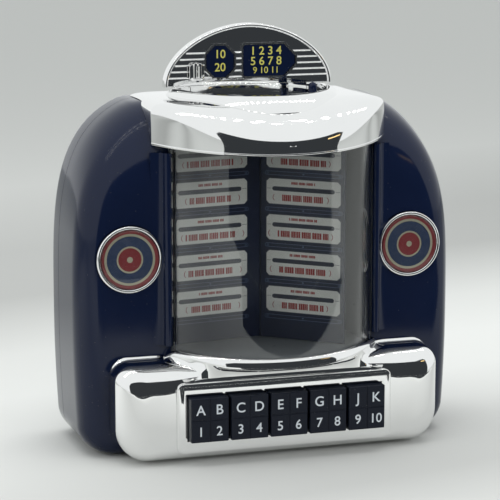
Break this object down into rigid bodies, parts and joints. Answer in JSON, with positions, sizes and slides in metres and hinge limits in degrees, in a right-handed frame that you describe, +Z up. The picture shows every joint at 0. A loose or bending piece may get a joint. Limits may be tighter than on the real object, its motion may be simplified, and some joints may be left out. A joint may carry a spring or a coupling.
{
  "type": "tabletop jukebox",
  "caption": "Small tabletop jukebox: arched housing, bowed window over title pages, tiered chrome cap with upright crest, round badges and a bezel of sprung keys.",
  "frame": {"origin": "on the table, under the middle of the bounding box", "axes": "+X to the right, -Y towards the front, +Z up"},
  "size_m": [0.1668, 0.086, 0.178],
  "materials": {
    "navy_gloss": "moulded plastic, glossy navy",
    "chrome_plate": "chrome plating on moulded plastic",
    "key_black": "satin blue-black plastic",
    "clear_plastic": "clear moulded plastic, polished",
    "title_card": "printed card, satin",
    "badge_print": "printed disc, satin",
    "display_grey": "matt grey plastic",
    "foot_rubber": "soft black rubber",
    "bright_steel": "bright steel",
    "board_green": "circuit board with solder mask",
    "cone_paper": "black speaker paper",
    "magnet_dark": "dark ferrite",
    "battery_wrap": "plain battery wrap"
  },
  "bodies": {
    "housing": {"front_shell": "navy_gloss", "rear_shell": "navy_gloss", "window": "clear_plastic", "display_box": "display_grey", "left_title_page": "title_card", "right_title_page": "title_card", "top_cap": "chrome_plate", "crest": "chrome_plate", "left_price_plate": "navy_gloss", "right_price_plate": "navy_gloss", "coin_entry": "chrome_plate", "button_spring": "bright_steel", "button_switch": "key_black", "badge_ring_left": "chrome_plate", "badge_disc_left": "badge_print", "badge_lens_left": "clear_plastic", "badge_ring_right": "chrome_plate", "badge_disc_right": "badge_print", "badge_lens_right": "clear_plastic", "base_bezel": "chrome_plate", "key_spring_1": "bright_steel", "key_spring_2": "bright_steel", "key_spring_3": "bright_steel", "key_spring_4": "bright_steel", "key_spring_5": "bright_steel", "switch_board": "board_green", "sound_board": "board_green", "speaker_frame": "bright_steel", "speaker_cone": "cone_paper", "speaker_magnet": "magnet_dark", "battery_tray": "key_black", "battery_1": "battery_wrap", "battery_2": "battery_wrap", "battery_3": "battery_wrap", "battery_contact_left": "bright_steel", "battery_contact_right": "bright_steel", "door_pin": "bright_steel", "foot_1": "foot_rubber", "foot_2": "foot_rubber", "foot_3": "foot_rubber", "foot_4": "foot_rubber", "housing_screw_1": "bright_steel", "housing_screw_2": "bright_steel", "housing_screw_3": "bright_steel", "housing_screw_4": "bright_steel"},
    "key_1": {"key_block_1": "key_black"},
    "key_2": {"key_block_2": "key_black"},
    "key_3": {"key_block_3": "key_black"},
    "key_4": {"key_block_4": "key_black"},
    "key_5": {"key_block_5": "key_black"},
    "top_button": {"top_button": "navy_gloss"},
    "battery_door": {"battery_door": "navy_gloss"},
    "power_switch": {"power_switch": "key_black"}
  },
  "joints": [
    {"name": "key_press_1", "type": "slide", "parent": "housing", "child": "key_1", "axis": [0, 1, 0], "range_m": [0, 0.0018], "stiffness_N_per_m": 300, "springref_m": -0.001},
    {"name": "key_press_2", "type": "slide", "parent": "housing", "child": "key_2", "axis": [0, 1, 0], "range_m": [0, 0.0018], "stiffness_N_per_m": 300, "springref_m": -0.001},
    {"name": "key_press_3", "type": "slide", "parent": "housing", "child": "key_3", "axis": [0, 1, 0], "range_m": [0, 0.0018], "stiffness_N_per_m": 300, "springref_m": -0.001},
    {"name": "key_press_4", "type": "slide", "parent": "housing", "child": "key_4", "axis": [0, 1, 0], "range_m": [0, 0.0018], "stiffness_N_per_m": 300, "springref_m": -0.001},
    {"name": "key_press_5", "type": "slide", "parent": "housing", "child": "key_5", "axis": [0, 1, 0], "range_m": [0, 0.0018], "stiffness_N_per_m": 300, "springref_m": -0.001},
    {"name": "top_button_press", "type": "slide", "parent": "housing", "child": "top_button", "axis": [0, 0, -1], "range_m": [0, 0.0016], "stiffness_N_per_m": 250, "springref_m": -0.001, "deforming": ["button_spring"]},
    {"name": "battery_door_hinge", "type": "hinge", "parent": "housing", "child": "battery_door", "pos_m": [0, 0.0414, 0.0124], "axis": [-1, 0, 0], "range_deg": [0, 85]},
    {"name": "power_switch_slide", "type": "slide", "parent": "housing", "child": "power_switch", "axis": [1, 0, 0], "range_m": [0, 0.004]}
  ]
}
